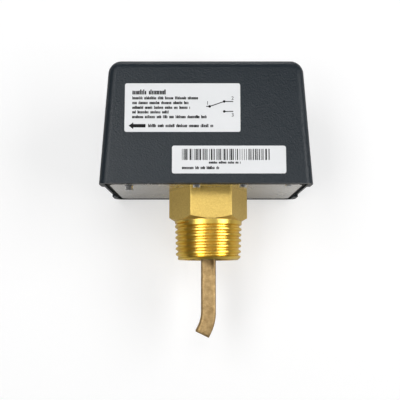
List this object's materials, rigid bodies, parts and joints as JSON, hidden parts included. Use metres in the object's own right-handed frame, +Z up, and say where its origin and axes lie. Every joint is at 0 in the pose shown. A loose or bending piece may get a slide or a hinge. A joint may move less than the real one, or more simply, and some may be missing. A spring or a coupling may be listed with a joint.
{
  "type": "paddle flow switch",
  "caption": "Paddle flow switch: black moulded cover on a steel plate, brass hexagon body with tapered male pipe thread, and a bent brass arm that trips a snap-action switch.",
  "frame": {"origin": "on the axis of the pipe thread, at the shoulder where the thread meets the hexagon", "axes": "+Z up into the cover, liquid flows towards -X, the cover's front with the labels looks to -Y"},
  "size_m": [0.1007, 0.059, 0.1328],
  "materials": {
    "moulded_black": "fine-grained moulded black",
    "label_white": "printed white label",
    "brass_machined": "machined and tumbled",
    "brass_cast": "sand cast",
    "plate_steel": "brushed, mirror-like",
    "zinc_steel": "zinc plated",
    "rubber_black": "matt",
    "bellows_bronze": "thin phosphor bronze",
    "switch_black": "phenolic moulding",
    "plunger_red": "moulded",
    "spring_steel": "drawn wire"
  },
  "bodies": {
    "base": {"hex_body": "brass_machined", "body_seal": "rubber_black", "lock_nut": "brass_machined", "base_plate": "plate_steel", "plate_nuts": "zinc_steel", "cover_gasket": "rubber_black", "mechanism_frame": "zinc_steel", "frame_screws": "zinc_steel", "pivot_pin": "zinc_steel", "pin_clips": "zinc_steel", "bellows": "bellows_bronze", "bellows_collar": "brass_machined", "range_spring": "spring_steel", "switch_case": "switch_black", "terminal_common": "brass_machined", "terminal_normally_open": "brass_machined", "terminal_normally_closed": "brass_machined", "terminal_screws": "zinc_steel", "switch_screws": "zinc_steel", "switch_nuts": "zinc_steel", "cover_posts": "zinc_steel", "earth_screw": "zinc_steel", "clip_screw": "zinc_steel", "earth_washer": "zinc_steel", "wire_clip": "zinc_steel"},
    "arm": {"paddle_arm": "brass_cast", "bellows_ring": "brass_machined", "switch_lever": "zinc_steel", "lever_screws": "zinc_steel", "spring_seat": "brass_machined"},
    "plunger": {"switch_plunger": "plunger_red"},
    "range_adjuster": {"range_screw": "zinc_steel"},
    "range_follower": {"range_nut": "brass_machined"},
    "cover_assembly": {"cover": "moulded_black", "cover_screws": "zinc_steel", "cable_grommet": "rubber_black", "rating_label": "label_white", "serial_label": "label_white"}
  },
  "joints": [
    {"name": "paddle_swing", "type": "hinge", "parent": "base", "child": "arm", "pos_m": [0, 0, 0.029], "axis": [0, 1, 0], "range_deg": [0, 7], "stiffness_Nm_per_rad": 0.6, "springref_deg": -6.88, "deforming": ["bellows", "range_spring"]},
    {"name": "plunger_travel", "type": "slide", "parent": "base", "child": "plunger", "axis": [0, 0, 1], "range_m": [-0.0016, 0]},
    {"name": "range_turn", "type": "hinge", "parent": "base", "child": "range_adjuster", "pos_m": [-0.02505, 0.01028, 0.06], "axis": [0, 0, 1], "range_deg": [0, 1125]},
    {"name": "range_travel", "type": "slide", "parent": "base", "child": "range_follower", "axis": [0, 0, 1], "range_m": [-0.0024, 0]},
    {"name": "cover_lift", "type": "slide", "parent": "base", "child": "cover_assembly", "axis": [0, 0, 1], "range_m": [0, 0.06]}
  ],
  "couplings": [
    {"joint": "plunger_travel", "follows": "paddle_swing", "m_per_rad": -0.0115},
    {"joint": "range_turn", "follows": "range_travel", "rad_per_m": -7854}
  ]
}
